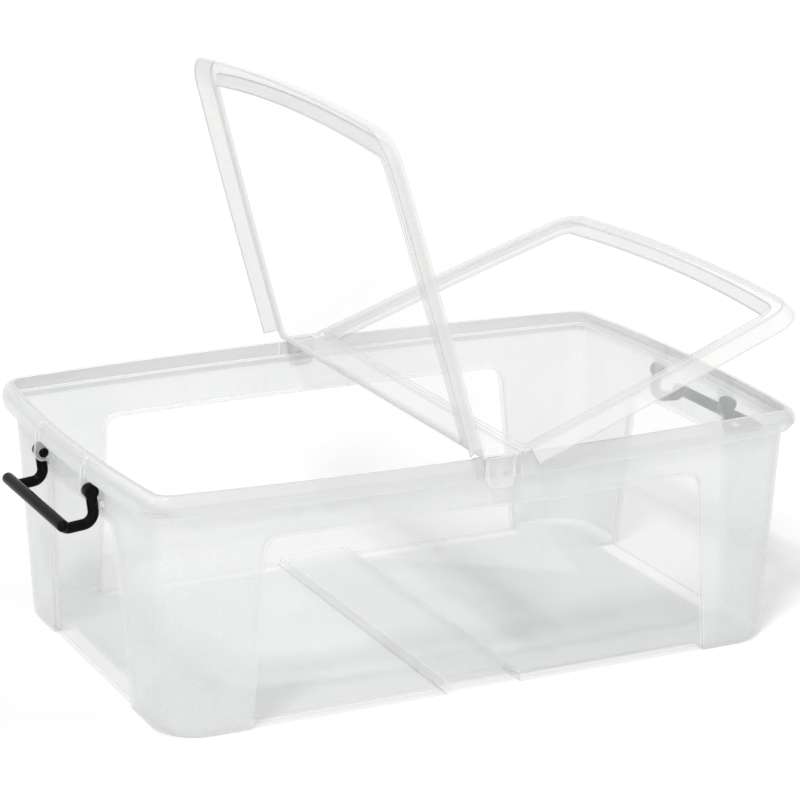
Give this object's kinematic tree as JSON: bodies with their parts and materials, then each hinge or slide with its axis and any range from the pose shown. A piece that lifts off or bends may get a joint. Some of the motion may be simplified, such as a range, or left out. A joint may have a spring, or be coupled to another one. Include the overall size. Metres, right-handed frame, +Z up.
{
  "type": "file box",
  "caption": "Portable translucent plastic storage box with a folding lid hinged on a centre bar, clear side windows and swinging carry handles.",
  "frame": {"origin": "middle of the base, on the surface that the box stands on", "axes": "+X along the length towards the right handle, +Y towards the rear, +Z up"},
  "size_m": [0.7374, 0.4726, 0.5432],
  "materials": {
    "tub_plastic": "frosted translucent polypropylene with clear windows",
    "lid_plastic": "clear glossy polypropylene",
    "handle_plastic": "glossy black"
  },
  "bodies": {
    "tub": {"tub": "tub_plastic"},
    "lid_bar": {"lid_centre_bar": "lid_plastic"},
    "left_lid": {"lid_left_panel": "lid_plastic"},
    "right_lid": {"lid_right_panel": "lid_plastic"},
    "left_handle": {"handle_left": "handle_plastic"},
    "right_handle": {"handle_right": "handle_plastic"}
  },
  "joints": [
    {"name": "lid_lift_off", "type": "slide", "parent": "tub", "child": "lid_bar", "axis": [0, 0, 1], "range_m": [0, 0.12]},
    {"name": "left_lid_fold", "type": "hinge", "parent": "lid_bar", "child": "left_lid", "pos_m": [-0.01945, 0, 0.2335], "axis": [0, 1, 0], "range_deg": [-74.5, 15.5]},
    {"name": "right_lid_fold", "type": "hinge", "parent": "lid_bar", "child": "right_lid", "pos_m": [0.01945, 0, 0.2335], "axis": [0, -1, 0], "range_deg": [-19.5, 70.5]},
    {"name": "left_handle_swing", "type": "hinge", "parent": "tub", "child": "left_handle", "pos_m": [-0.3335, 0, 0.1993], "axis": [0, 1, 0], "range_deg": [0, 115]},
    {"name": "right_handle_swing", "type": "hinge", "parent": "tub", "child": "right_handle", "pos_m": [0.3335, 0, 0.1993], "axis": [0, -1, 0], "range_deg": [0, 115]}
  ]
}
